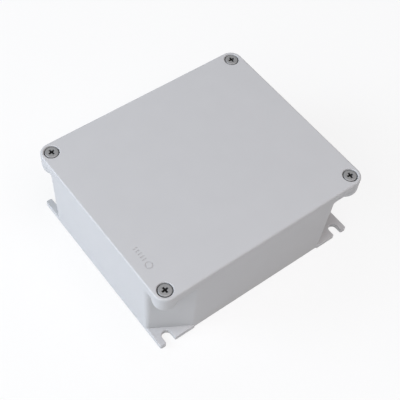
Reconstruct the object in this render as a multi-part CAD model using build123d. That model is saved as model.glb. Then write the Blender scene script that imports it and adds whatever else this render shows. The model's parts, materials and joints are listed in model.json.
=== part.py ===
from build123d import *

import os
from math import hypot, radians, tan

# Junction box in cast aluminium: millimetres, X along the box, Z up,
# origin under the middle of the floor, on the surface that the box stands on.

# Outside of the box
box_length = 166.0
box_width = 142.0
box_height = 62.0
wall_draft = 2.1             # degrees that each outer wall leans in going down
lid_depth = 6.0              # from the lid's top to the seam
lid_corner_round = 8.5
lid_edge_round = 1.2
corner_cut_x = 27.6          # legs of each cut corner of the housing, at the seam
corner_cut_y = 16.3
corner_cut_round = 5.0

# Shells
wall = 3.5
floor_thickness = 4.0
corner_wall_extra = 2.0      # more wall behind the cut corners than along the sides
cavity_round = 4.0
lid_plate = 3.0

# Lip that carries the lid's corners, and the round-ended screw bosses under it
lip_web = 1.5
haunch = 1.2                 # sloped underside between lip and cut corner
boss_straight = 3.0          # from the lip down to the boss's round end

# Seal
seal_setback = 1.0           # from the outer wall to the gasket's channel
seal_depth = 2.0
seal_clearance = 0.1
rib_clearance = 0.3
rib_thickness = 1.6
rib_reach = 3.0              # below the seam

# Feet
foot_thickness = 3.5
foot_reach = 0.8             # past the foot of the long walls
slot_width = 7.0
slot_from_side = 8.0         # slot's centre line from the foot's short edge
slot_length = 8.2            # from the foot's long edge to the slot's closed end
foot_tip_round = 1.2
foot_point_round = 0.8
foot_edge_round = 0.4

# Lid screws and their washers
screw_inset = 7.75           # from both edges of the lid
lid_thread = 5.0
lid_thread_pitch = 0.8
lid_head_diameter = 9.5
lid_head_height = 3.3
lid_screw_length = 12.0
lid_washer_diameter = 10.0
lid_washer_thickness = 0.8
head_recess = 0.1            # head's crown below the lid's top
counterbore = 10.3
counterbore_chamfer = 0.4
hole_clearance = 0.25        # round a shank, on the radius
thread_clearance = 0.05      # round a thread, on the radius
thread_depth = 0.45
blind_end = 1.0              # hole left past a screw's tip
head_dome = 0.45             # of the head's height, rounded off at its top
recess_across = 0.98         # of the thread, from end to end of the cross
recess_bottom = 0.3          # of the thread, from end to end at the bottom of the recess
recess_width = 0.3           # of the thread
recess_depth = 0.75          # of the head's height
cross_turns = {"front_left": 4, "front_right": -9, "rear_left": 12, "rear_right": -3}

# Mark in the lid: a ring and a row of bars, sunk
mark_depth = 0.3
mark_from_side = 10.0
mark_from_front = 27.0
mark_ring = 5.2
mark_line = 0.7
mark_bar = 3.0
mark_bar_pitch = 2.4
mark_bars = 5

# Earth screw
earth_thread = 5.0
earth_thread_pitch = 0.8
earth_head_diameter = 9.5
earth_head_height = 3.7
earth_screw_length = 10.0
earth_boss_diameter = 12.0
earth_boss_height = 6.0
earth_blind_end = 0.5
earth_from_wall = 9.3        # from the foot of the end wall inside
saddle_thickness = 1.2
saddle_ear = 1.6             # height of the two turned-up edges
saddle_clearance = 0.4       # from the head to each turned-up edge
spring_washer_diameter = 9.2
spring_washer_thickness = 1.2
spring_washer_split = 0.8
spring_washer_turn = 35      # degrees round the screw to the split
spring_washer_slope = 30     # degrees that the split leans

# Rail and its screws
rail_clearance = 1.7         # from the rail's end to the earth saddle
rail_width = 35.0
rail_height = 7.5
rail_crown = 27.0            # outer width of the channel
rail_sheet = 1.0
rail_slot_width = 6.2
rail_slot_length = 15.0
rail_slot_pitch = 25.0
rail_end = 1.0               # least metal left past the last slot
rail_boss_diameter = 10.0
rail_boss_height = 4.0
rail_thread = 4.0
rail_thread_pitch = 0.7
rail_head_diameter = 8.0
rail_head_height = 3.1
rail_screw_length = 6.0
rail_cross_turn = 20

# Terminals
terminal_names = ["line", "neutral", "earth"]
terminal_pitch = 6.2
terminal_wall = 1.0
terminal_end = 5.7           # from the current bar's end to the block's end
terminal_headroom = 5.0      # from the terminals' top to the lid
crown_setback = 3.7          # from each end of the block to its top
terminal_shoulder_low = 28.0
terminal_shoulder_high = 33.0
terminal_foot_low = 3.6
terminal_hook = 1.3
top_chamfer = 2.0
rail_fit = 0.15
marker_width = 6.0
marker_depth = 3.0
bar_width = 2.8
bar_thickness = 1.5
bar_z = 24.0                 # underside, above the rail's base
bar_length = 31.0
cell_from_end = 3.5          # each clamp from the end of the current bar
cage_length = 6.0
cage_width = 4.6
cage_side = 0.8
cage_roof = 1.6
cage_floor = 1.0
cage_fit = 0.2
cage_travel = 3.0
wire_room = 3.8
wire_flare = 1.2
clamp_thread = 3.0
clamp_thread_pitch = 0.5
clamp_thread_depth = 0.22
clamp_head_diameter = 3.6
clamp_head_height = 2.4
clamp_slot = 0.6
clamp_slot_turn = 30         # degrees from one terminal's screws to the next one's
clamp_neck = 2.0
neck_clearance = 0.1         # round the thread in the neck that the head rests on
tip_gap = 0.1                # from a part that moves to the current bar
end_plate_thickness = 1.5
end_stop_width = 8.0
end_stop_height = 30.0
end_stop_crown = 22.0
end_stop_shoulder_low = 15.0
end_stop_shoulder_high = 21.0
end_stop_round = 0.6


seam_z = box_height - lid_depth
lip_z = seam_z - lip_web
rail_z = floor_thickness + rail_boss_height
screw_x = box_length / 2 - screw_inset
screw_y = box_width / 2 - screw_inset
screw_seat_z = box_height - head_recess - lid_head_height - lid_washer_thickness
head_under_z = screw_seat_z + lid_washer_thickness
screw_tip_z = head_under_z - lid_screw_length
earth_boss_z = floor_thickness + earth_boss_height
earth_seat_z = earth_boss_z + saddle_thickness + spring_washer_thickness
saddle_width = earth_head_diameter + 2 * (saddle_clearance + saddle_thickness)
terminal_length = bar_length + 2 * terminal_end
terminal_crown = terminal_length - 2 * crown_setback
terminal_height = box_height - lid_plate - terminal_headroom - rail_z    # above the rail's base
cell_y = bar_length / 2 - cell_from_end
cage_low = bar_z - wire_room - cage_floor
cage_height = cage_floor + wire_room + bar_thickness + 3 * tip_gap + cage_roof
neck_low = cage_low + cage_height + cage_travel + cage_fit
neck_high = neck_low + clamp_neck
terminals_width = len(terminal_names) * terminal_pitch + end_plate_thickness
corners = {"front_left": (-1, -1), "front_right": (1, -1), "rear_left": (-1, 1), "rear_right": (1, 1)}
sides = {"front": -1, "rear": 1}
upright = (Align.CENTER, Align.CENTER, Align.MIN)
nearly = 0.01                # for finding edges and corners by their place


def lean(z):
    """How far a wall has come in at height z, against the widest part of the lid."""
    return (box_height - lid_edge_round - z) * tan(radians(wall_draft))


def half_sizes(z):
    return box_length / 2 - lean(z), box_width / 2 - lean(z)


def earth_x():
    return half_sizes(floor_thickness)[0] - wall - earth_from_wall


def rail_length():
    return 2 * (earth_x() - saddle_width / 2 - rail_clearance)


def rail_slot_places():
    """Places along X of the slots that the rail has room for, with one in the middle."""
    room = (rail_length() - rail_slot_length) / 2 - rail_end
    last = int(room / rail_slot_pitch)
    return [index * rail_slot_pitch for index in range(-last, last + 1)]


def rail_screw_places():
    places = rail_slot_places()
    return [places[0], places[-1]]


def lid_outline(z):
    half_x, half_y = half_sizes(z)
    return Pos(0, 0, z) * RectangleRounded(2 * half_x, 2 * half_y, lid_corner_round - lean(z))


def cut_outline(z, inset, cut_inset, rounding):
    """The housing's eight-sided outline at height z, moved in by an inset on the sides and on the cuts."""
    seam_half_x, seam_half_y = half_sizes(seam_z)
    cut_length = hypot(corner_cut_x, corner_cut_y)
    normal_x, normal_y = corner_cut_y / cut_length, corner_cut_x / cut_length
    reach = normal_x * seam_half_x + normal_y * (seam_half_y - corner_cut_y)
    reach -= lean(z) - lean(seam_z) + cut_inset
    half_x, half_y = (half - inset for half in half_sizes(z))
    x = (reach - normal_y * half_y) / normal_x
    y = (reach - normal_x * half_x) / normal_y
    corner = [(half_x, -y), (half_x, y), (x, half_y), (-x, half_y)]
    points = corner + [(-px, -py) for px, py in corner]
    outline = make_face(Polyline(*points, close=True))
    return Pos(0, 0, z) * fillet(outline.vertices(), rounding)


def seal_outline(z, inset):
    """An outline that follows the top of the wall, with corners that keep its width all round."""
    return cut_outline(z, inset, inset + corner_wall_extra, cavity_round + wall - inset)


def hang(outline, depth, taper=wall_draft):
    """Extrude a symmetric outline downwards, narrowing by the taper."""
    z = outline.bounding_box().max.Z
    block = extrude(Pos(0, 0, -z) * outline, amount=depth, taper=taper)
    return Pos(0, 0, z) * (Rot(180, 0, 0) * block)


def rod(diameter, low_z, high_z):
    return Pos(0, 0, low_z) * Cylinder(diameter / 2, high_z - low_z, align=upright)


def at_corners(shape):
    return [Pos(sx * screw_x, sy * screw_y, 0) * shape for sx, sy in corners.values()]


def threaded_shank(diameter, pitch, length, depth=thread_depth):
    """A shank below z = 0 with a V-shaped ring for each turn of its thread."""
    radius = diameter / 2
    turns = int((length - pitch) / pitch)
    points = [(0, 0), (radius, 0)]
    for turn in range(turns):
        z = -(turn + 0.5) * pitch
        points += [(radius, z), (radius - depth, z - pitch / 2)]
    points += [(radius, -(turns + 0.5) * pitch), (radius - depth, -length), (0, -length)]
    return revolve(Plane.XZ * make_face(Polyline(*points, close=True)), Axis.Z)


def pan_head(diameter, height):
    head = rod(diameter, 0, height)
    return fillet(head.edges().sort_by(Axis.Z)[-1], height * head_dome)


def cross_recess(thread, head_height, turn):
    """Two crossed wedges below z = 0 that narrow towards the bottom of the recess."""
    half_top, half_bottom = thread * recess_across / 2, thread * recess_bottom / 2
    depth = head_height * recess_depth
    wedge_points = [(-half_top, 0), (half_top, 0), (half_bottom, -depth), (-half_bottom, -depth)]
    section = Plane.XZ * make_face(Polyline(*wedge_points, close=True))
    wedge = extrude(section, amount=thread * recess_width / 2, both=True)
    return Rot(0, 0, turn) * (wedge + Rot(0, 0, 90) * wedge)


def pan_screw(thread, pitch, head_diameter, head_height, length, turn=0):
    """A cross-recessed pan-head screw whose seat is at z = 0."""
    screw = pan_head(head_diameter, head_height) + threaded_shank(thread, pitch, length)
    return screw - Pos(0, 0, head_height) * cross_recess(thread, head_height, turn)


def make_housing():
    shell = hang(cut_outline(seam_z, 0, 0, corner_cut_round), seam_z)
    envelope = hang(lid_outline(seam_z), seam_z)
    shell += hang(lid_outline(seam_z), lip_web)
    haunch_top = cut_outline(lip_z, -haunch, -haunch, corner_cut_round + haunch)
    shell += hang(haunch_top, haunch, taper=45) & envelope
    boss_radius = lid_corner_round - lean(lip_z)
    boss_end_z = lip_z - boss_straight
    boss_x, boss_y = box_length / 2 - lid_corner_round, box_width / 2 - lid_corner_round
    pole_tilt = 45    # degrees that the round end's axis leans, so that its poles lie inside the casting
    for sx, sy in corners.values():
        round_end = Pos(0, 0, boss_end_z) * Rot(-sy * pole_tilt, 0, 0) * Sphere(boss_radius)
        boss = rod(2 * boss_radius, boss_end_z, lip_z) + round_end
        boss &= rod(2 * boss_radius, 0, lip_z)
        shell += Pos(sx * boss_x, sy * boss_y, 0) * boss
    shell += make_feet()
    shell -= hang(seal_outline(seam_z, wall), seam_z - floor_thickness)
    rail_boss = rod(rail_boss_diameter, floor_thickness / 2, rail_z)
    rail_tip_z = rail_z + rail_sheet - rail_screw_length
    rail_hole = rod(rail_thread + 2 * thread_clearance, rail_tip_z - blind_end, rail_z)
    for x in rail_screw_places():
        shell += Pos(x, 0, 0) * rail_boss
        shell -= Pos(x, 0, 0) * rail_hole
    earth_tip_z = earth_seat_z - earth_screw_length
    earth_hole = rod(earth_thread + 2 * thread_clearance, earth_tip_z - earth_blind_end, earth_boss_z)
    shell += Pos(earth_x(), 0, 0) * rod(earth_boss_diameter, floor_thickness / 2, earth_boss_z)
    shell -= Pos(earth_x(), 0, 0) * earth_hole
    shell -= at_corners(rod(lid_thread + 2 * thread_clearance, screw_tip_z - blind_end, seam_z))
    return shell


def make_feet():
    """Plates that fill the cut corners at the floor, each with an open slot along Y."""
    half_x, half_y = half_sizes(0)
    foot_y = half_y + foot_reach
    slot_x = half_x - slot_from_side
    slot_radius = slot_width / 2
    inner_x = half_x - corner_cut_x
    arc_y = foot_y - slot_length + slot_radius
    outline = make_face(Polyline((0, 0), (half_x, 0), (half_x, foot_y), (inner_x + foot_reach, foot_y),
                                 (inner_x, half_y), (0, half_y), close=True))
    slot = Pos(slot_x, arc_y) * Circle(slot_radius)
    slot += Pos(slot_x, foot_y) * Rectangle(slot_width, 2 * (foot_y - arc_y))
    outline -= slot
    prong = outline.vertices().filter_by(lambda v: v.X > slot_x and v.Y > foot_y - nearly)
    outline = fillet(prong, foot_tip_round)
    edge_x = slot_x - slot_radius
    point = outline.vertices().filter_by(lambda v: abs(v.X - edge_x) < nearly and v.Y > foot_y - nearly)
    outline = fillet(point, foot_point_round)
    foot = extrude(outline, amount=foot_thickness)
    foot = fillet(foot.edges().group_by(Axis.Z)[-1], foot_edge_round)
    return [foot, mirror(foot, Plane.YZ), mirror(foot, Plane.XZ), mirror(mirror(foot, Plane.YZ), Plane.XZ)]


def make_lid():
    lid = hang(lid_outline(box_height), lid_depth)
    lid = fillet(lid.faces().sort_by(Axis.Z)[-1].edges(), lid_edge_round)
    channel_inner = wall + rib_clearance
    plate_z = box_height - lid_plate
    channel = extrude(seal_outline(seam_z, seal_setback), amount=seal_depth)
    pocket = extrude(seal_outline(seam_z, channel_inner), amount=plate_z - seam_z)
    rib_z = seam_z - rib_reach
    rib = extrude(seal_outline(rib_z, channel_inner), amount=plate_z - rib_z)
    rib -= extrude(seal_outline(rib_z, channel_inner + rib_thickness), amount=plate_z - rib_z)
    lid = lid - channel - pocket + rib
    lid -= at_corners(rod(lid_thread + 2 * hole_clearance, seam_z, box_height))
    lid -= at_corners(rod(counterbore, screw_seat_z, box_height))
    top_edges = lid.edges().filter_by_position(Axis.Z, box_height - nearly, box_height + nearly)
    circles = top_edges.filter_by(GeomType.CIRCLE)
    rims = circles.filter_by(lambda edge: abs(edge.radius - counterbore / 2) < nearly)
    lid = chamfer(rims, counterbore_chamfer)
    return lid - make_mark()


def make_mark():
    mark_x = -box_length / 2 + mark_from_side
    ring_y = -box_width / 2 + mark_from_front
    mark = Pos(mark_x, ring_y) * (Circle(mark_ring / 2) - Circle(mark_ring / 2 - mark_line))
    for bar in range(mark_bars):
        bar_y = ring_y + mark_ring / 2 + (bar + 1) * mark_bar_pitch
        mark += Pos(mark_x, bar_y) * SlotOverall(mark_bar, mark_line)
    return extrude(Pos(0, 0, box_height - mark_depth) * mark, amount=mark_depth)


def make_gasket():
    outer = extrude(seal_outline(seam_z, seal_setback + seal_clearance), amount=seal_depth)
    return outer - extrude(seal_outline(seam_z, wall), amount=seal_depth)


def make_lid_screw(name):
    sx, sy = corners[name]
    screw = pan_screw(lid_thread, lid_thread_pitch, lid_head_diameter, lid_head_height,
                      lid_screw_length, cross_turns[name])
    return Pos(sx * screw_x, sy * screw_y, head_under_z) * screw


def make_lid_washer(name):
    sx, sy = corners[name]
    ring = rod(lid_washer_diameter, 0, lid_washer_thickness)
    ring -= rod(lid_thread + 2 * thread_clearance, 0, lid_washer_thickness)
    return Pos(sx * screw_x, sy * screw_y, screw_seat_z) * ring


def make_earth_screw():
    screw = pan_screw(earth_thread, earth_thread_pitch, earth_head_diameter, earth_head_height,
                      earth_screw_length)
    return Pos(earth_x(), 0, earth_seat_z) * screw


def make_spring_washer():
    ring = rod(spring_washer_diameter, 0, spring_washer_thickness)
    ring -= rod(earth_thread + 2 * thread_clearance, 0, spring_washer_thickness)
    size = spring_washer_diameter
    split = Rot(spring_washer_slope, 0, 0) * Box(size, spring_washer_split, size)
    cut = Rot(0, 0, spring_washer_turn) * Pos(size / 2, 0, spring_washer_thickness / 2) * split
    return Pos(earth_x(), 0, earth_seat_z - spring_washer_thickness) * (ring - cut)


def make_earth_saddle():
    plate = Box(saddle_width, saddle_width, saddle_thickness, align=upright)
    ear = Box(saddle_thickness, saddle_width, saddle_thickness + saddle_ear, align=upright)
    for side in (-1, 1):
        plate += Pos(side * (saddle_width - saddle_thickness) / 2, 0, 0) * ear
    plate -= rod(earth_thread + 2 * thread_clearance, 0, saddle_thickness)
    return Pos(earth_x(), 0, earth_boss_z) * plate


def make_rail():
    half_crown, half_width = rail_crown / 2, rail_width / 2
    low, high, sheet = rail_z, rail_z + rail_height, rail_sheet
    half = [(half_crown, low), (half_crown, high - sheet), (half_width, high - sheet), (half_width, high),
            (half_crown - sheet, high), (half_crown - sheet, low + sheet)]
    points = half + [(-y, z) for y, z in reversed(half)]
    section = Plane.YZ * make_face(Polyline(*points, close=True))
    rail = extrude(section, amount=rail_length() / 2, both=True)
    slot = extrude(Pos(0, 0, rail_z) * SlotOverall(rail_slot_length, rail_slot_width), amount=rail_sheet)
    for x in rail_slot_places():
        rail -= Pos(x, 0, 0) * slot
    return rail


def make_rail_screws():
    screw = pan_screw(rail_thread, rail_thread_pitch, rail_head_diameter, rail_head_height,
                      rail_screw_length, rail_cross_turn)
    seats = [Pos(x, 0, rail_z + rail_sheet) for x in rail_screw_places()]
    return Compound(children=[seat * screw for seat in seats])


def block_outline(length, crown, height, shoulder_low, shoulder_high):
    """Side view of anything that hooks over the rail, as points in Y and Z above the rail's base."""
    lip_top = rail_height
    hook_top = rail_height - rail_sheet - rail_fit
    outside = rail_width / 2 + rail_fit
    half_top = crown / 2
    half = [(outside, lip_top), (outside, hook_top), (outside - terminal_hook, hook_top),
            (outside - terminal_hook / 2, terminal_foot_low), (length / 2, terminal_foot_low),
            (length / 2, shoulder_low), (half_top, shoulder_high), (half_top, height - top_chamfer),
            (half_top - top_chamfer, height)]
    points = half + [(-y, z) for y, z in reversed(half)]
    return make_face(Polyline(*points, close=True))


def block_body(outline, start_x, thickness):
    section = Plane(origin=(start_x, 0, rail_z), x_dir=(0, 1, 0), z_dir=(1, 0, 0)) * outline
    return extrude(section, amount=thickness)


def slab(y, low_z, high_z, width):
    return Pos(y, (low_z + high_z) / 2) * Rectangle(width, high_z - low_z)


def terminal_start(index):
    return index * terminal_pitch - terminals_width / 2


def cell_middle(index):
    return terminal_start(index) + (terminal_pitch + terminal_wall) / 2


def terminal_outline():
    outline = block_outline(terminal_length, terminal_crown, terminal_height, terminal_shoulder_low,
                            terminal_shoulder_high)
    return outline - Pos(0, terminal_height) * Rectangle(marker_width, 2 * marker_depth)


def make_terminal_body(index):
    """A block with one open face, which the next block or the end plate covers."""
    body = block_body(terminal_outline(), terminal_start(index), terminal_pitch)
    rooms = slab(0, bar_z - tip_gap, bar_z + bar_thickness + tip_gap, bar_length + 2 * cage_fit)
    chamber_low = cage_low - cage_fit
    wire_low = bar_z - wire_room
    flare_y = terminal_length / 2 - 2 * wire_flare
    for side in sides.values():
        y = side * cell_y
        rooms += slab(y, chamber_low, neck_low, cage_length + 2 * cage_fit)
        rooms += slab(y, neck_low, neck_high, clamp_thread + 2 * neck_clearance)
        rooms += slab(y, neck_high, terminal_height, clamp_head_diameter + 2 * thread_clearance)
        funnel = [(cell_y, wire_low), (flare_y, wire_low), (terminal_length / 2, wire_low - wire_flare),
                  (terminal_length / 2, bar_z + wire_flare), (flare_y, bar_z), (cell_y, bar_z)]
        rooms += make_face(Polyline(*[(side * fy, fz) for fy, fz in funnel], close=True))
    return body - block_body(rooms, terminal_start(index) + terminal_wall, terminal_pitch - terminal_wall)


def make_current_bar(index):
    bar = Box(bar_width, bar_length, bar_thickness, align=upright)
    return Pos(cell_middle(index), 0, rail_z + bar_z) * bar


def make_cage(index, side):
    height = cage_height
    cage = Box(cage_width, cage_length, height, align=upright)
    cage -= Pos(0, 0, cage_floor) * Box(
        cage_width - 2 * cage_side, cage_length, height - cage_floor - cage_roof, align=upright)
    cage -= rod(clamp_thread + 2 * thread_clearance, height - cage_roof, height)
    return Pos(cell_middle(index), side * cell_y, rail_z + cage_low) * cage


def make_clamp_screw(index, side):
    tip = bar_z + bar_thickness + tip_gap
    screw = rod(clamp_head_diameter, 0, clamp_head_height)
    screw = chamfer(screw.edges().sort_by(Axis.Z)[-1], clamp_slot / 2)
    screw += threaded_shank(clamp_thread, clamp_thread_pitch, neck_high - tip, depth=clamp_thread_depth)
    screw -= Rot(0, 0, clamp_slot_turn * (index + 1)) * Pos(0, 0, clamp_head_height) * Box(
        clamp_head_diameter, clamp_slot, clamp_head_height)
    return Pos(cell_middle(index), side * cell_y, rail_z + neck_high) * screw


def make_end_plate():
    return block_body(terminal_outline(), terminal_start(len(terminal_names)), end_plate_thickness)


def make_end_stop(start_x):
    outline = block_outline(terminal_length, end_stop_crown, end_stop_height, end_stop_shoulder_low,
                            end_stop_shoulder_high)
    outline -= Pos(0, end_stop_height) * Rectangle(marker_width, 2 * marker_depth)
    stop = block_body(outline, start_x, end_stop_width)
    return fillet(stop.edges().filter_by(Axis.X).group_by(Axis.Z)[-1], end_stop_round)


parts = {
    "housing": make_housing(),
    "lid": make_lid(),
    "lid_gasket": make_gasket(),
    "earth_screw": make_earth_screw(),
    "earth_spring_washer": make_spring_washer(),
    "earth_clamp_saddle": make_earth_saddle(),
    "mounting_rail": make_rail(),
    "rail_screws": make_rail_screws(),
    "terminal_end_plate": make_end_plate(),
    "end_stop_left": make_end_stop(terminal_start(0) - end_stop_width),
    "end_stop_right": make_end_stop(terminal_start(len(terminal_names)) + end_plate_thickness),
}
for name in corners:
    parts[f"lid_screw_{name}"] = make_lid_screw(name)
    parts[f"lid_washer_{name}"] = make_lid_washer(name)
for index, name in enumerate(terminal_names):
    parts[f"terminal_{name}"] = make_terminal_body(index)
    parts[f"current_bar_{name}"] = make_current_bar(index)
    for side, direction in sides.items():
        parts[f"clamp_cage_{name}_{side}"] = make_cage(index, direction)
        parts[f"clamp_screw_{name}_{side}"] = make_clamp_screw(index, direction)

os.makedirs("parts", exist_ok=True)
for name, shape in parts.items():
    export_step(shape, f"parts/{name}.step")
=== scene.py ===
import json
from math import radians, tau

import bmesh
import bpy
from mathutils import Matrix, Vector


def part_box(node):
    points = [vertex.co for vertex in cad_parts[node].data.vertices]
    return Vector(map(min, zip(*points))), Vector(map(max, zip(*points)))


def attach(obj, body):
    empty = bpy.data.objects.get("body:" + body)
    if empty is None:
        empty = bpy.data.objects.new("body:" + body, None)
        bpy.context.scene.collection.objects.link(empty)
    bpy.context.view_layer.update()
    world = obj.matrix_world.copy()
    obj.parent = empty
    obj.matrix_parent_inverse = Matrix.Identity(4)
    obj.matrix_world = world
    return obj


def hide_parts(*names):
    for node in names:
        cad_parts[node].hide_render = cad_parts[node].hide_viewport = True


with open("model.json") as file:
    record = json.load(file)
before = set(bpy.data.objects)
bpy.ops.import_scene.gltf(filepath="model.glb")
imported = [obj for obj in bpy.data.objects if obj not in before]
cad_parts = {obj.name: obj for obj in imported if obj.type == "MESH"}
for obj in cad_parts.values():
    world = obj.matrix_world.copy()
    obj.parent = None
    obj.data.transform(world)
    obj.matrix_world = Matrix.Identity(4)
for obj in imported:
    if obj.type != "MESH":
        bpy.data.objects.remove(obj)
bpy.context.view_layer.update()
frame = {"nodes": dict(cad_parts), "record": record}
nodes = frame["nodes"]
print("frame loaded:", len(nodes), "nodes")


# Camera, set to the view of the photograph
cameraSettings = {
    "azimuth": -42.11,      # degrees, 0 looks along +Y
    "elevation": 54.261,
    "roll": 6.078,
    "place": (-0.244895, -0.273286, 0.531053),
    "lens": 81.62,
    "sensor": 36.0,
    "nearest": 0.01,
}


def makeCamera(settings):
    data = bpy.data.cameras.new("camera")
    data.lens = settings["lens"]
    data.sensor_width = settings["sensor"]
    data.sensor_fit = "HORIZONTAL"
    data.clip_start = settings["nearest"]
    turn = Matrix.Rotation(radians(settings["azimuth"]), 4, "Z")
    tilt = Matrix.Rotation(radians(90 - settings["elevation"]), 4, "X")
    roll = Matrix.Rotation(radians(settings["roll"]), 4, "Z")
    camera = bpy.data.objects.new("camera", data)
    camera.matrix_world = Matrix.Translation(settings["place"]) @ turn @ tilt @ roll
    bpy.context.scene.collection.objects.link(camera)
    bpy.context.scene.camera = camera


makeCamera(cameraSettings)
print("camera placed")


class Wire:
    # a node's output that takes part in sums; every sum adds a Math node
    def __init__(self, recipe, socket):
        self.recipe = recipe
        self.socket = socket

    def maths(self, operation, *values):
        return self.recipe.node("ShaderNodeMath", {"operation": operation}, dict(enumerate(values)))

    def __add__(self, other):
        return self.maths("ADD", self, other)

    def __sub__(self, other):
        return self.maths("SUBTRACT", self, other)

    def __rsub__(self, other):
        return self.maths("SUBTRACT", other, self)

    def __mul__(self, other):
        return self.maths("MULTIPLY", self, other)

    def __pow__(self, other):
        return self.maths("POWER", self, other)

    def __abs__(self):
        return self.maths("ABSOLUTE", self)

    def over(self, limit):
        return self.maths("GREATER_THAN", self, limit)

    def under(self, limit):
        return self.maths("LESS_THAN", self, limit)

    def atMost(self, limit):
        return self.maths("MINIMUM", self, limit)

    def sine(self):
        return self.maths("SINE", self)

    def wrapped(self, low, high):
        return self.maths("WRAP", self, high, low)


class Recipe:
    # the nodes of one material or world
    edgeSamples = 6

    def __init__(self, owner):
        self.owner = owner
        owner.use_nodes = True
        self.tree = owner.node_tree
        self.tree.nodes.clear()

    def node(self, kind, settings=None, sockets=None, output=0):
        made = self.tree.nodes.new(kind)
        for key, value in (settings or {}).items():
            setattr(made, key, value)
        for key, value in (sockets or {}).items():
            if isinstance(value, Wire):
                self.tree.links.new(value.socket, made.inputs[key])
            else:
                made.inputs[key].default_value = value
        return Wire(self, made.outputs[output]) if len(made.outputs) else made

    def place(self):
        return self.node("ShaderNodeTexCoord", output="Object")

    def axes(self, place):
        return [self.node("ShaderNodeSeparateXYZ", sockets={0: place}, output=axis) for axis in "XYZ"]

    def stretched(self, scale):
        return self.node("ShaderNodeMapping", sockets={"Vector": self.place(), "Scale": scale})

    def grain(self, scale, detail=2.0, place=None):
        sockets = {"Vector": place or self.place(), "Scale": scale, "Detail": detail}
        return self.node("ShaderNodeTexNoise", sockets=sockets)

    def cells(self, scale, output="Distance"):
        sockets = {"Vector": self.place(), "Scale": scale}
        return self.node("ShaderNodeTexVoronoi", sockets=sockets, output=output)

    def blend(self, factor, low, high):
        return self.node("ShaderNodeMix", {"data_type": "RGBA"}, {0: factor, 6: low, 7: high}, output=2)

    def spread(self, value, low, high):
        return value * (high - low) + low

    def rounded(self, radius):
        # shades sharp edges as if they had this radius
        return self.node("ShaderNodeBevel", {"samples": self.edgeSamples}, {"Radius": radius})

    def mixed(self, first, second, share):
        # share is the second one's
        return first * (1 - share) + second * share

    def skin(self, relief, values):
        # relief laid over the piece's rounded edges, in the form that a shader's Normal takes
        sockets = {"Height": relief, "Strength": values["strength"], "Distance": values["height"],
                   "Normal": self.rounded(values["edgeRound"])}
        return self.node("ShaderNodeBump", sockets=sockets)

    def finish(self, sockets):
        shader = self.node("ShaderNodeBsdfPrincipled", sockets=sockets)
        self.node("ShaderNodeOutputMaterial", sockets={"Surface": shader})
        return self.owner


def shades(values):
    # the colour a share darker and the same share lighter
    return [tuple(channel * factor for channel in values["colour"]) + (1.0,)
            for factor in (1 - values["mottle"], 1 + values["mottle"])]


# Satin paint on the casting: fine orange peel over the slow swell of the cast skin
castPaint = {
    "colour": (0.538, 0.538, 0.540),
    "mottle": 0.03,           # share by which the colour varies
    "roughness": (0.46, 0.56),
    "peelScale": 1500.0,      # per metre
    "peelDetail": 3.0,
    "swellScale": 60.0,
    "peelInColour": 0.3,      # share that the peel has in the mottle
    "swellInRelief": 0.5,     # height of the swell, against the peel's
    "height": 0.00004,        # metres
    "strength": 0.35,
    "edgeRound": 0.0004,
    "shine": 0.40,
}


def makeCastPaint(name, values):
    recipe = Recipe(bpy.data.materials.new(name))
    peel = recipe.grain(values["peelScale"], values["peelDetail"])
    swell = recipe.grain(values["swellScale"])
    mottle = recipe.mixed(swell, peel, values["peelInColour"])
    return recipe.finish({
        "Base Color": recipe.blend(mottle, *shades(values)),
        "Roughness": recipe.spread(peel, *values["roughness"]),
        "Normal": recipe.skin(peel + swell * values["swellInRelief"], values),
        "Specular IOR Level": values["shine"],
    })


# Screws: turned rings round each screw's own axis, and painted shade: the cross recess coloured near-black
screwSteel = {
    "colour": (0.213, 0.213, 0.216),
    # near-black colour painted into the cross recess as shade
    "paintedRecessShade": (0.012, 0.012, 0.012, 1.0),
    "mottle": 0.15,
    "roughness": (0.48, 0.62),
    "paintedRecessRoughness": 0.8,
    "paintedRecessDepth": 0.004,      # depth of the painted recess shade, from where it starts
    "ringScale": 9000.0,      # radians per metre of radius
    "grainScale": 2500.0,
    "grainDetail": 4.0,
    "grainShare": 0.6,        # against the rings
    "height": 0.00002,
    "strength": 0.25,
    "edgeRound": 0.00012,
}
screwZinc = dict(screwSteel, colour=(0.50, 0.50, 0.48), roughness=(0.34, 0.50))


def makeScrewMetal(name, values, screw, centre, topZ, pitch=None):
    # centre is mirrored to all four quarters, or repeats along X by the pitch
    recipe = Recipe(bpy.data.materials.new(name))
    x, y, z = recipe.axes(recipe.place())
    if pitch:
        x = (x - centre[0]).wrapped(-pitch / 2, pitch / 2)
    else:
        x = abs(x) - abs(centre[0])
    y = abs(y) - abs(centre[1])
    radius = (x * x + y * y) ** 0.5
    rings = (radius * values["ringScale"]).sine() * 0.5 + 0.5
    grain = recipe.grain(values["grainScale"], values["grainDetail"])
    wear = recipe.mixed(rings, grain, values["grainShare"])
    bareMetal = recipe.blend(wear, *shades(values))
    # painted shade: the cross recess is coloured near-black, from just under the head's top down by the
    # depth, within reach of the axis
    startZ = topZ - screw["paintedRecessBelow"]
    paintedRecessShade = radius.under(screw["paintedRecessReach"]) * z.under(startZ) * z.over(startZ - values["paintedRecessDepth"])
    bright = recipe.spread(wear, *values["roughness"])
    return recipe.finish({
        # the painted recess shade takes the place of the metal's colour there
        "Base Color": recipe.blend(paintedRecessShade, bareMetal, values["paintedRecessShade"]),
        "Metallic": 1 - paintedRecessShade,
        "Roughness": bright * (1 - paintedRecessShade) + paintedRecessShade * values["paintedRecessRoughness"],
        "Normal": recipe.skin(wear, values),
    })


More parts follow.
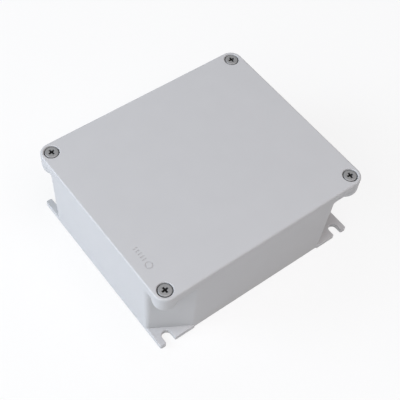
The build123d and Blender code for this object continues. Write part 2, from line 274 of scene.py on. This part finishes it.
# Sheet metal: drawn lines along X, small crystals and fine grain
sheetMetal = {
    "zinc_plate": {"colours": ((0.52, 0.52, 0.50, 1.0), (0.66, 0.66, 0.65, 1.0)), "roughness": (0.28, 0.46)},
    "washers": {"colours": ((0.20, 0.20, 0.21, 1.0), (0.30, 0.30, 0.31, 1.0)), "roughness": (0.36, 0.52)},
    "copper_bar": {"colours": ((0.62, 0.36, 0.22, 1.0), (0.78, 0.50, 0.33, 1.0)), "roughness": (0.22, 0.40)},
}
sheetDetail = {
    "crystalScale": 420.0,
    "drawnScale": 260.0,
    "drawnDetail": 3.0,
    "drawnStretch": (0.25, 9.0, 9.0),
    "grainScale": 1900.0,
    "grainDetail": 4.0,
    "crystalShare": 0.3,      # in the colour, the rest being drawn lines and grain
    "drawnShare": 0.4,
    "grainInRelief": 0.4,     # against the drawn lines
    "height": 0.00003,
    "strength": 0.2,
    "edgeRound": 0.00015,
}


def makeSheetMetal(name, values, detail):
    recipe = Recipe(bpy.data.materials.new(name))
    crystal = recipe.axes(recipe.cells(detail["crystalScale"], "Color"))[0]
    along = recipe.stretched(detail["drawnStretch"])
    drawn = recipe.grain(detail["drawnScale"], detail["drawnDetail"], along)
    grain = recipe.grain(detail["grainScale"], detail["grainDetail"])
    grainShare = 1 - detail["crystalShare"] - detail["drawnShare"]
    mix = crystal * detail["crystalShare"] + drawn * detail["drawnShare"] + grain * grainShare
    return recipe.finish({
        "Base Color": recipe.blend(mix, *values["colours"]),
        "Metallic": 1.0,
        "Roughness": recipe.spread(mix, *values["roughness"]),
        "Normal": recipe.skin(recipe.mixed(drawn, grain, detail["grainInRelief"]), detail),
    })


# Moulded terminals: spark-eroded skin, faint flow marks, and a stripe on the earth terminal
mouldedPlastic = {
    "mottle": 0.1,
    "flowInColour": 0.6,      # against the spark marks
    "stripe": (0.80, 0.60, 0.03, 1.0),
    "stripeMiddle": 0.0145,   # from the terminal's middle along Y
    "stripeHalfWidth": 0.0022,
    "roughness": (0.42, 0.58),
    "sparkScale": 4200.0,
    "flowScale": 90.0,
    "flowStretch": (1.0, 3.0, 0.6),
    "height": 0.00003,
    "strength": 0.3,
    "edgeRound": 0.0003,
}
terminals = {
    "terminal_grey": dict(mouldedPlastic, colour=(0.235, 0.24, 0.24), striped=False),
    "terminal_blue": dict(mouldedPlastic, colour=(0.022, 0.095, 0.34), striped=False),
    "terminal_green_yellow": dict(mouldedPlastic, colour=(0.05, 0.26, 0.035), striped=True),
}


def makeMouldedPlastic(name, values):
    recipe = Recipe(bpy.data.materials.new(name))
    spark = recipe.grain(values["sparkScale"])
    flow = recipe.grain(values["flowScale"], place=recipe.stretched(values["flowStretch"]))
    colour = recipe.blend(recipe.mixed(spark, flow, values["flowInColour"]), *shades(values))
    if values["striped"]:
        y = recipe.axes(recipe.place())[1]
        band = abs(abs(y) - values["stripeMiddle"]).under(values["stripeHalfWidth"])
        colour = recipe.blend(band, colour, values["stripe"])
    return recipe.finish({
        "Base Color": colour,
        "Roughness": recipe.spread(spark, *values["roughness"]),
        "Normal": recipe.skin(spark, values),
    })


# Gasket: closed-cell rubber with a dull bloom
gasketRubber = {
    "colours": ((0.018, 0.018, 0.019, 1.0), (0.045, 0.045, 0.046, 1.0)),
    "roughness": (0.70, 0.88),
    "poreScale": 1800.0,
    "bloomScale": 140.0,
    "bloomDetail": 4.0,
    "poreInRoughness": 0.4,   # against the bloom
    "height": 0.00005,
    "strength": 0.4,
    "edgeRound": 0.0002,
}


def makeGasketRubber(name, values):
    recipe = Recipe(bpy.data.materials.new(name))
    pores = recipe.cells(values["poreScale"])
    bloom = recipe.grain(values["bloomScale"], values["bloomDetail"])
    dullness = recipe.mixed(bloom, pores, values["poreInRoughness"])
    return recipe.finish({
        "Base Color": recipe.blend(bloom, *values["colours"]),
        "Roughness": recipe.spread(dullness, *values["roughness"]),
        "Normal": recipe.skin(pores, values),
    })


materials = {
    "cast_grey_paint": makeCastPaint("cast_grey_paint", castPaint),
    "gasket_rubber": makeGasketRubber("gasket_rubber", gasketRubber),
}
for name, values in sheetMetal.items():
    materials[name] = makeSheetMetal(name, values, sheetDetail)
for name, values in terminals.items():
    materials[name] = makeMouldedPlastic(name, values)


# Cross-recessed pan-head screws with a real helical thread; the clamps' own screws come from the frame
lidScrew = {
    "headWidth": 0.0095,
    "headHeight": 0.0033,
    "dome": 0.0011,
    "thread": 0.005,
    "pitch": 0.0008,
    "threadDepth": 0.00045,
    "threadHalfFoot": 0.47,    # half the width of the thread's foot, as a share of the pitch
    "tip": 0.7,                # width of the tip, as a share of the core
    "recessAcross": 0.0049,
    "recessWidth": 0.0015,
    "recessDepth": 0.0024,
    "recessBottom": 0.3,       # share of the width left at the bottom
    "paintedRecessReach": 0.0030,      # reach of the painted recess shade from the screw's axis
    "paintedRecessBelow": 0.00025,     # from the head's top down to where the painted recess shade starts
}
earthScrew = dict(lidScrew, headHeight=0.0037)
railScrew = dict(lidScrew, headWidth=0.008, headHeight=0.0031, thread=0.004, pitch=0.0007,
                 recessAcross=0.0040, recessWidth=0.0012, recessDepth=0.0022, paintedRecessReach=0.0024)
# reach and start of the painted recess shade on the clamps' own screws
clampScrew = {"paintedRecessReach": 0.0016, "paintedRecessBelow": 0.0004}
screwTurns = {"front_left": 4, "front_right": -9, "rear_left": 12, "rear_right": -3, "earth": 0, "rail": 20}
screwFineness = {
    "segments": 48,
    "domeSegments": 6,
    "stepsPerTurn": 24,
    "threadSink": 0.0001,      # of the thread's foot in the core
    "cutterRise": 0.0001,      # of the recess's cutter over the head
    "nearly": 1e-6,            # for finding edges and corners by their height
    "sharpAngle": 40,          # degrees
}


def middle(node):
    low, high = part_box(node)
    return (low + high) / 2


clampPitch = abs(middle("clamp_screw_neutral_front").x - middle("clamp_screw_line_front").x)
lidTop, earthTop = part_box("lid_screw_rear_right")[1].z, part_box("earth_screw")[1].z
railTop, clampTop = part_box("rail_screws")[1].z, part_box("clamp_screw_line_rear")[1].z
earthScrewX = middle("earth_screw").x
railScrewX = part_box("rail_screws")[1].x - railScrew["headWidth"] / 2
lidCentre, clampCentre = middle("lid_screw_rear_right"), middle("clamp_screw_line_rear")
screwFinishes = {
    "lid_screws": makeScrewMetal("lid_screw_steel", screwSteel, lidScrew, lidCentre, lidTop),
    "earth_screw": makeScrewMetal("earth_screw_steel", screwSteel, earthScrew, (earthScrewX, 0), earthTop),
    "rail_screws": makeScrewMetal("rail_screw_zinc", screwZinc, railScrew, (railScrewX, 0), railTop),
    "clamp_screws": makeScrewMetal("clamp_screw_zinc", screwZinc, clampScrew, clampCentre, clampTop,
                                   clampPitch),
}
print("materials ready:", len(materials) + len(screwFinishes))

materials["stainless_screws"] = screwFinishes["lid_screws"]
for subpart in frame["record"]["subparts"]:
    name = subpart["node"]
    if name.startswith("clamp_screw_"):
        finish = screwFinishes["clamp_screws"]
    else:
        finish = materials[subpart["material_slot"]]
    for slot in nodes[name].material_slots:
        slot.material = finish
print("carried-over nodes dressed")


def upperRim(bm, height, nearly):
    return [edge for edge in bm.edges if all(abs(vert.co.z - height) < nearly for vert in edge.verts)]


def makeHeadAndCore(values, length, fineness):
    # head's underside at z = 0, the core under it
    bm = bmesh.new()
    radius, height = values["headWidth"] / 2, values["headHeight"]
    bmesh.ops.create_cone(bm, cap_ends=True, segments=fineness["segments"], radius1=radius, radius2=radius,
                          depth=height, matrix=Matrix.Translation((0, 0, height / 2)))
    under = min(bm.faces, key=lambda face: face.calc_center_median().z)
    coreRadius = values["thread"] / 2 - values["threadDepth"]
    bmesh.ops.inset_region(bm, faces=[under], thickness=radius - coreRadius, use_even_offset=True)
    for drop, share in ((length - values["pitch"], 1.0), (values["pitch"], values["tip"])):
        made = bmesh.ops.extrude_discrete_faces(bm, faces=[under])["faces"]
        under = made[0]
        bmesh.ops.translate(bm, verts=under.verts, vec=(0, 0, -drop))
        bmesh.ops.scale(bm, verts=under.verts, vec=(share, share, 1))
    rim = upperRim(bm, height, fineness["nearly"])
    bmesh.ops.bevel(bm, geom=rim, offset=values["dome"], segments=fineness["domeSegments"], profile=0.5,
                    affect="EDGES", material=-1)
    bmesh.ops.recalc_face_normals(bm, faces=bm.faces)
    return bm


def makeCross(values, fineness):
    # a cube whose four sides are drawn out, narrower at the bottom; its top stands over the head
    bm = bmesh.new()
    width, depth = values["recessWidth"], values["recessDepth"]
    sunk = Matrix.Translation((0, 0, values["headHeight"] - depth / 2))
    bmesh.ops.create_cube(bm, size=1, matrix=sunk @ Matrix.Diagonal((width, width, depth, 1)))
    sides = [face for face in bm.faces if abs(face.normal.z) < 0.5]
    arms = bmesh.ops.extrude_discrete_faces(bm, faces=sides)["faces"]
    for arm in arms:
        bmesh.ops.translate(bm, verts=arm.verts, vec=arm.normal * (values["recessAcross"] - width) / 2)
    lowZ = values["headHeight"] - depth + fineness["nearly"]
    bottom = [vert for vert in bm.verts if vert.co.z < lowZ]
    top = [vert for vert in bm.verts if vert.co.z > lowZ]
    bmesh.ops.scale(bm, verts=bottom, vec=(values["recessBottom"], values["recessBottom"], 1))
    bmesh.ops.translate(bm, verts=top, vec=(0, 0, fineness["cutterRise"]))
    bmesh.ops.recalc_face_normals(bm, faces=bm.faces)
    return bm


def makeThread(values, length, fineness):
    # a triangle swept down a helix, its root sunk in the core
    bm = bmesh.new()
    crest = values["thread"] / 2
    root = crest - values["threadDepth"] - fineness["threadSink"]
    half = values["pitch"] * values["threadHalfFoot"]
    section = [bm.verts.new(point) for point in ((root, 0, -half), (crest, 0, 0), (root, 0, half))]
    face = bm.faces.new(section)
    turns = int((length - 2 * values["pitch"]) / values["pitch"])
    steps = fineness["stepsPerTurn"]
    bmesh.ops.translate(bm, verts=section, vec=(0, 0, -values["pitch"]))
    bmesh.ops.spin(bm, geom=[face, *face.edges, *face.verts], axis=(0, 0, 1), angle=tau * turns,
                   steps=steps * turns, dvec=(0, 0, -values["pitch"] / steps))
    bmesh.ops.recalc_face_normals(bm, faces=bm.faces)
    return bm


def asObject(name, bm):
    mesh = bpy.data.meshes.new(name)
    bm.to_mesh(mesh)
    bm.free()
    made = bpy.data.objects.new(name, mesh)
    bpy.context.scene.collection.objects.link(made)
    return made


def cutMesh(body, cutter):
    # body's mesh with the cutter's shape taken out; both helper objects go
    cut = body.modifiers.new("cut", "BOOLEAN")
    cut.operation = "DIFFERENCE"
    cut.solver = "EXACT"
    cut.object = cutter
    mesh = bpy.data.meshes.new_from_object(body.evaluated_get(bpy.context.evaluated_depsgraph_get()))
    for helper in (body, cutter):
        bpy.data.objects.remove(helper)
    return mesh


def makePanScrews(name, values, fineness, seats, length, turn, material):
    head = asObject(name + "_blank", makeHeadAndCore(values, length, fineness))
    headMesh = cutMesh(head, asObject(name + "_cutter", makeCross(values, fineness)))
    single = bmesh.new()
    single.from_mesh(headMesh)
    thread = bpy.data.meshes.new(name + "_thread")
    strip = makeThread(values, length, fineness)
    strip.to_mesh(thread)
    strip.free()
    single.from_mesh(thread)
    singleMesh = bpy.data.meshes.new(name + "_single")
    single.to_mesh(singleMesh)
    single.free()
    whole = bmesh.new()
    for seat in seats:
        placed = singleMesh.copy()
        placed.transform(Matrix.Translation(seat) @ Matrix.Rotation(radians(turn), 4, "Z"))
        whole.from_mesh(placed)
    screw = asObject(name, whole)
    screw.data.materials.clear()
    screw.data.materials.append(material)
    screw.data.shade_smooth()
    screw.data.set_sharp_from_angle(angle=radians(fineness["sharpAngle"]))
    return screw


for corner in ("front_left", "front_right", "rear_left", "rear_right"):
    node = "lid_screw_" + corner
    low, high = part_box(node)
    seat = Vector((middle(node).x, middle(node).y, high.z - lidScrew["headHeight"]))
    screw = makePanScrews("crossScrew_" + corner, lidScrew, screwFineness, [seat], seat.z - low.z,
                          screwTurns[corner], screwFinishes["lid_screws"])
    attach(screw, node)
    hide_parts(node)

low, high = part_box("earth_screw")
seat = Vector((earthScrewX, 0, high.z - earthScrew["headHeight"]))
screw = makePanScrews("crossScrew_earth", earthScrew, screwFineness, [seat], seat.z - low.z,
                      screwTurns["earth"], screwFinishes["earth_screw"])
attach(screw, "earth_screw")
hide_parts("earth_screw")

low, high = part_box("rail_screws")
seats = [Vector((side * railScrewX, 0, high.z - railScrew["headHeight"])) for side in (-1, 1)]
screw = makePanScrews("crossScrews_rail", railScrew, screwFineness, seats, seats[0].z - low.z,
                      screwTurns["rail"], screwFinishes["rail_screws"])
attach(screw, "box")
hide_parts("rail_screws")
print("cross-recessed screws made: 7")


# Floor, world and lamps
studio = {
    "floorSize": 6.0,
    "floorColour": (0.86, 0.86, 0.86, 1.0),
    "white": (1.0, 1.0, 1.0, 1.0),
    "worldStrength": 0.05,
    "shadowShare": 0.18,      # how much of the floor's own shading the camera sees beside the box
    "shadowReach": (0.3, 1.3),      # distances between which that share fades to none
    "floorDrop": 0.0002,      # under the box, so that the two don't share a plane
    "aim": (0, 0, 0.03),
}
lamps = {
    "keyLamp": {"place": (-1.35, 0.8, 0.75), "size": (0.7, 0.7), "power": 14.1, "colour": (0.76, 0.84, 1.0)},
    "sideLamp": {"place": (-1.3, -0.1, 1.0), "size": (2.0, 1.2), "power": 18.1, "colour": (0.89, 0.95, 1.0)},
    "rearLamp": {"place": (0.3, 1.3, 1.1), "size": (0.9, 0.9), "power": 2.9, "colour": (0.9, 1.0, 1.0)},
    "frontLamp": {"place": (0.2, -0.6, 1.7), "size": (1.4, 1.4), "power": 17.6, "colour": (1.0, 0.93, 0.94)},
}


def seenRay(recipe):
    # 1 for what the camera sees, straight, in a reflection or through glass
    kinds = ("Is Camera Ray", "Is Glossy Ray", "Is Transmission Ray")
    camera, glossy, through = [recipe.node("ShaderNodeLightPath", output=kind) for kind in kinds]
    return (camera + glossy + through).atMost(1.0)


def makeFloor(values):
    recipe = Recipe(bpy.data.materials.new("studioFloor"))
    matt = recipe.node("ShaderNodeBsdfDiffuse", sockets={"Color": values["floorColour"]})
    white = recipe.node("ShaderNodeEmission", sockets={"Color": values["white"], "Strength": 1.0})
    distance = recipe.node("ShaderNodeVectorMath", {"operation": "LENGTH"}, {0: recipe.place()}, "Value")
    nearest, furthest = values["shadowReach"]
    shadow = recipe.node("ShaderNodeMapRange", {"interpolation_type": "SMOOTHSTEP"},
                         {0: distance, 1: nearest, 2: furthest, 3: values["shadowShare"], 4: 0.0})
    share = seenRay(recipe) * (1 - shadow)
    shown = recipe.node("ShaderNodeMixShader", sockets={0: share, 1: matt, 2: white})
    below = recipe.node("ShaderNodeNewGeometry", output="Backfacing")
    clear = recipe.node("ShaderNodeBsdfTransparent")
    oneSided = recipe.node("ShaderNodeMixShader", sockets={0: below, 1: shown, 2: clear})
    recipe.node("ShaderNodeOutputMaterial", sockets={"Surface": oneSided})
    bm = bmesh.new()
    bmesh.ops.create_grid(bm, x_segments=1, y_segments=1, size=values["floorSize"] / 2,
                          matrix=Matrix.Translation((0, 0, -values["floorDrop"])))
    floor = asObject("floor", bm)
    floor.data.materials.append(recipe.owner)


def makeWorld(values):
    recipe = Recipe(bpy.data.worlds.new("studio"))
    strength = recipe.spread(seenRay(recipe), values["worldStrength"], 1.0)
    light = recipe.node("ShaderNodeBackground", sockets={"Color": values["white"], "Strength": strength})
    recipe.node("ShaderNodeOutputWorld", sockets={"Surface": light})
    bpy.context.scene.world = recipe.owner


def makeLamp(name, values, aim):
    data = bpy.data.lights.new(name, "AREA")
    data.shape = "RECTANGLE"
    data.size, data.size_y = values["size"]
    data.energy = values["power"]
    data.color = values["colour"]
    lamp = bpy.data.objects.new(name, data)
    lamp.location = values["place"]
    lamp.rotation_euler = (Vector(values["place"]) - Vector(aim)).to_track_quat("Z", "Y").to_euler()
    bpy.context.scene.collection.objects.link(lamp)


makeFloor(studio)
makeWorld(studio)
for name, values in lamps.items():
    makeLamp(name, values, studio["aim"])
bpy.context.scene.view_settings.view_transform = "Standard"
print("studio lit")
